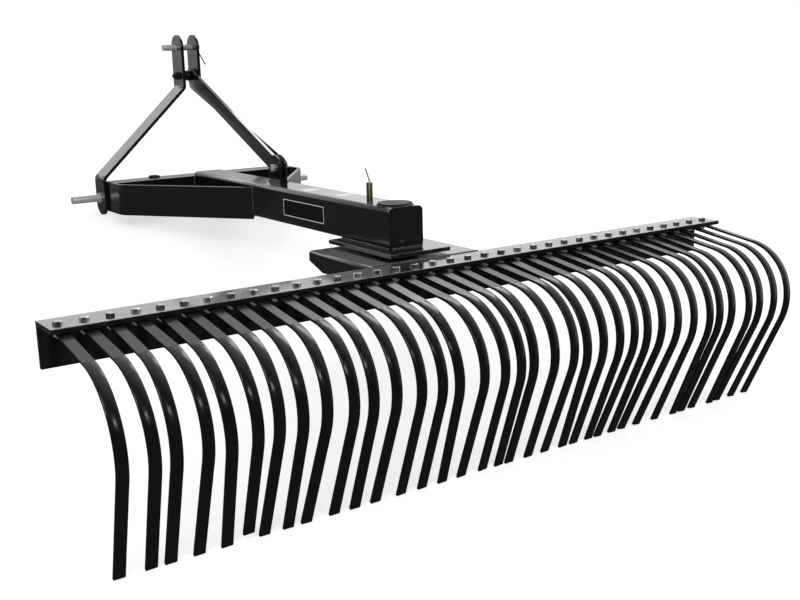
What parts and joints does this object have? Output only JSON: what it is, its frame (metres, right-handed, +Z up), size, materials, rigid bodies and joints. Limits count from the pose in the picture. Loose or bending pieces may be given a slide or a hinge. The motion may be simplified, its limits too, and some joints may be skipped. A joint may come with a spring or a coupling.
{
  "type": "landscape rake",
  "caption": "Three-point-hitch landscape rake: curved spring tines under an angle-iron bar that swivels below a square-tube boom with an A-shaped mast and a bent-plate hitch frame.",
  "frame": {"origin": "on the floor, under the middle of the parked rake's bounding box", "axes": "+Z up; +X towards the rake's right-hand end, along the tine bar; +Y forwards, towards the tractor. The rake stands parked, nose down, on its tine tips and mast feet"},
  "size_m": [1.8288, 1.809, 0.5203],
  "materials": {
    "black_enamel": "semi-gloss black powder coat",
    "tine_enamel": "semi-gloss black enamel on spring steel",
    "zinc_plate": "bright zinc plate"
  },
  "bodies": {
    "hitch_frame": {"boom_tube": "black_enamel", "boom_end_cap": "black_enamel", "upper_swivel_plate": "black_enamel", "thrust_washer": "black_enamel", "kingpin": "zinc_plate", "kingpin_cap": "black_enamel", "kingpin_nut": "zinc_plate", "lock_pin": "zinc_plate", "front_crossbar": "black_enamel", "side_plate_left": "black_enamel", "mast_strap_left": "black_enamel", "lower_hitch_pin_left": "zinc_plate", "brace_ear_left": "black_enamel", "side_plate_right": "black_enamel", "mast_strap_right": "black_enamel", "lower_hitch_pin_right": "zinc_plate", "brace_ear_right": "black_enamel", "top_link_pin": "zinc_plate", "mast_bolt": "zinc_plate", "mast_spacers": "black_enamel", "rear_brace": "black_enamel", "brace_bolt": "zinc_plate"},
    "rake_head": {"tine_bar": "black_enamel", "tine_01": "tine_enamel", "tine_02": "tine_enamel", "tine_03": "tine_enamel", "tine_04": "tine_enamel", "tine_05": "tine_enamel", "tine_06": "tine_enamel", "tine_07": "tine_enamel", "tine_08": "tine_enamel", "tine_09": "tine_enamel", "tine_10": "tine_enamel", "tine_11": "tine_enamel", "tine_12": "tine_enamel", "tine_13": "tine_enamel", "tine_14": "tine_enamel", "tine_15": "tine_enamel", "tine_16": "tine_enamel", "tine_17": "tine_enamel", "tine_18": "tine_enamel", "tine_19": "tine_enamel", "tine_20": "tine_enamel", "tine_21": "tine_enamel", "tine_22": "tine_enamel", "tine_23": "tine_enamel", "tine_24": "tine_enamel", "tine_25": "tine_enamel", "tine_26": "tine_enamel", "tine_27": "tine_enamel", "tine_28": "tine_enamel", "tine_29": "tine_enamel", "tine_30": "tine_enamel", "tine_31": "tine_enamel", "tine_32": "tine_enamel", "tine_33": "tine_enamel", "tine_34": "tine_enamel", "tine_35": "tine_enamel", "tine_36": "tine_enamel", "head_channel": "black_enamel"}
  },
  "joints": [
    {"name": "head_swivel", "type": "hinge", "parent": "hitch_frame", "child": "rake_head", "pos_m": [0, -0.39289, 0.31971], "axis": [0, 0.2695, 0.963], "range_deg": [-45, 45]}
  ]
}
